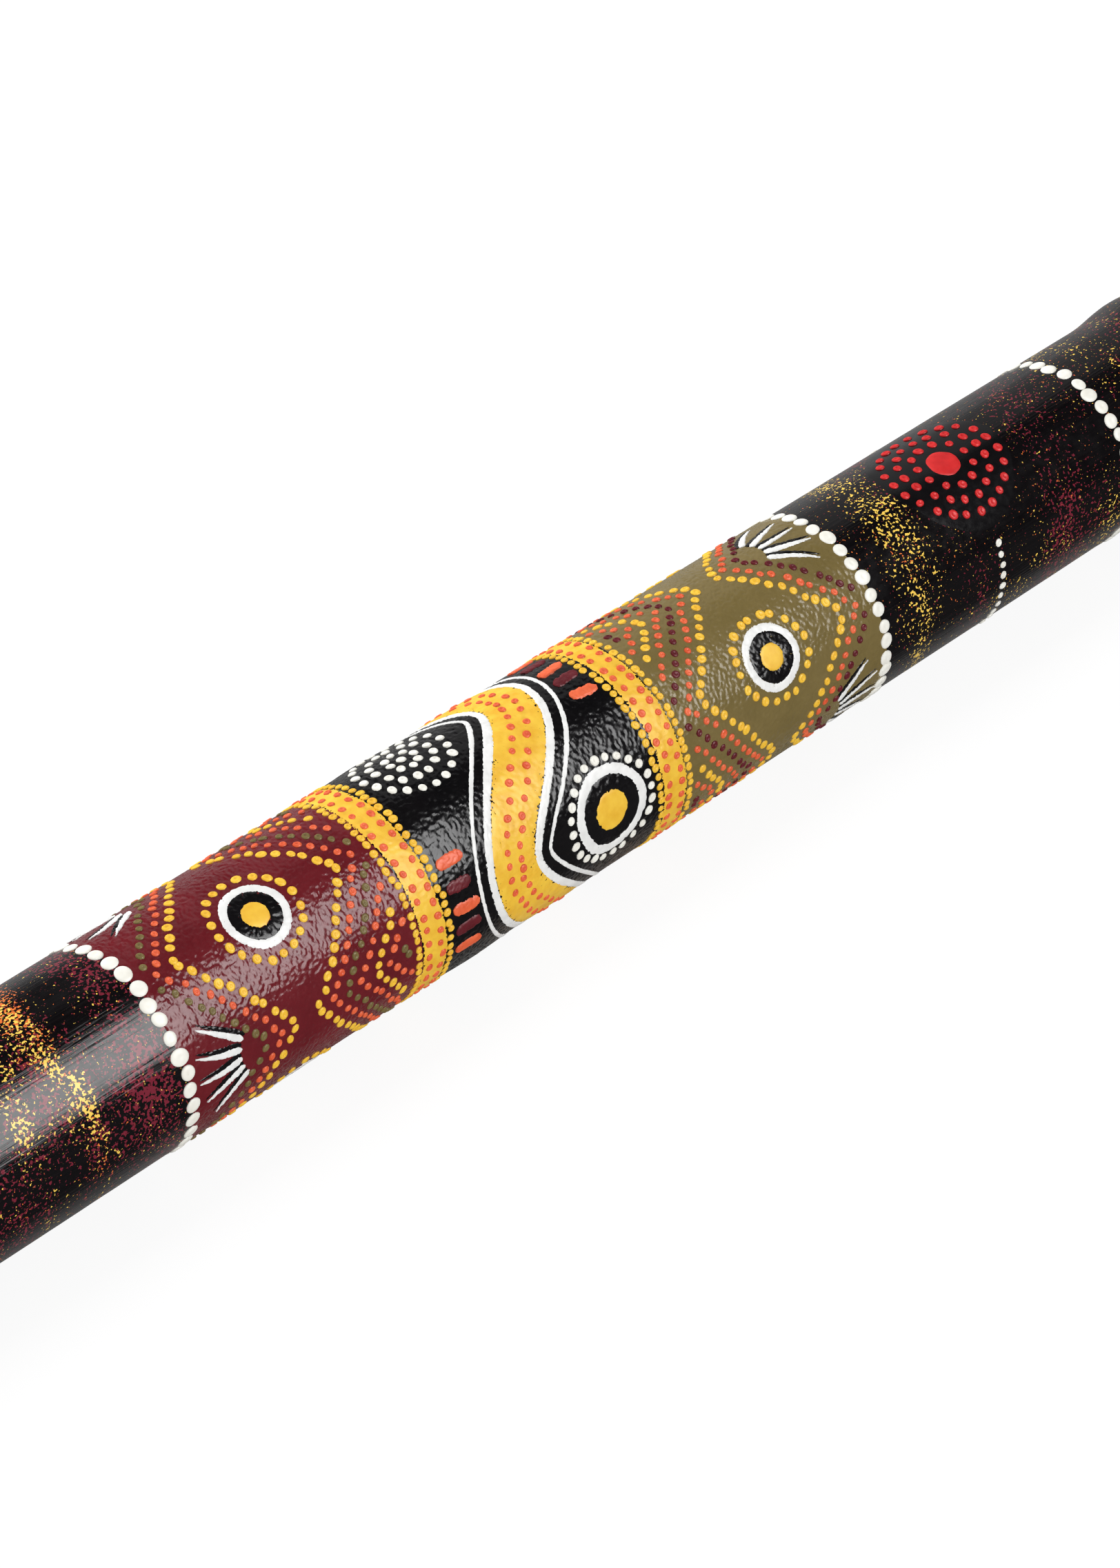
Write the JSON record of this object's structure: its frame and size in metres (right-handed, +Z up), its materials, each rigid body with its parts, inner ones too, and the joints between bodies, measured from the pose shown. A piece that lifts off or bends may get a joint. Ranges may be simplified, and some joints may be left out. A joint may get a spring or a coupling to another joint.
{
  "type": "didgeridoo",
  "caption": "Straight bored bamboo wind instrument with a beeswax mouthpiece and a painted, dot-decorated outside.",
  "frame": {"origin": "centre of the overall length, at the floor under the lying tube", "axes": "+X along the bore towards the mouthpiece, +Z up, decorated panel centred on x = 0"},
  "size_m": [1.2, 0.062, 0.062],
  "materials": {
    "bamboo": "bare sanded bamboo",
    "beeswax": "kneaded wax, soft sheen",
    "black_ground": "satin acrylic with sponged speckle",
    "maroon_ground": "satin acrylic with an orange-peel grain",
    "centre_ground": "satin acrylic with an orange-peel grain",
    "olive_ground": "satin acrylic with an orange-peel grain",
    "white_paint": "thick satin acrylic",
    "white_line_paint": "brushed satin acrylic",
    "gold_paint": "brushed satin acrylic",
    "black_paint": "brushed satin acrylic",
    "yellow_paint": "thick satin acrylic",
    "orange_paint": "thick satin acrylic",
    "olive_paint": "thick satin acrylic",
    "dark_red_paint": "thick satin acrylic",
    "red_paint": "thick satin acrylic"
  },
  "bodies": {
    "root": {"bamboo_culm": "bamboo", "beeswax_mouthpiece": "beeswax", "bell_ground_coat": "black_ground", "mouth_ground_coat": "black_ground", "maroon_field": "maroon_ground", "centre_field": "centre_ground", "olive_field": "olive_ground", "bell_dot_ring": "white_paint", "mouth_dot_ring": "white_paint", "fine_dot_ring": "white_paint", "upper_dot_ring": "white_paint", "lower_dot_ring": "white_paint", "river_gold": "gold_paint", "river_white_lines": "white_line_paint", "gold_borders": "gold_paint", "medallion_gold": "gold_paint", "medallion_black": "black_paint", "medallion_white": "white_line_paint", "maroon_yellow_dots": "yellow_paint", "olive_yellow_dots": "yellow_paint", "maroon_orange_dots": "orange_paint", "olive_orange_dots": "orange_paint", "centre_orange_dots": "orange_paint", "maroon_olive_dots": "olive_paint", "olive_maroon_dots": "dark_red_paint", "border_beads": "yellow_paint", "white_strokes": "white_line_paint", "black_stroke_shadows": "black_paint", "orange_bars": "orange_paint", "dark_red_bars": "dark_red_paint", "white_halo_dots": "white_paint", "white_rosettes": "white_paint", "black_roundel": "black_paint", "red_disc": "red_paint", "red_rosette": "red_paint"}
  },
  "joints": []
}
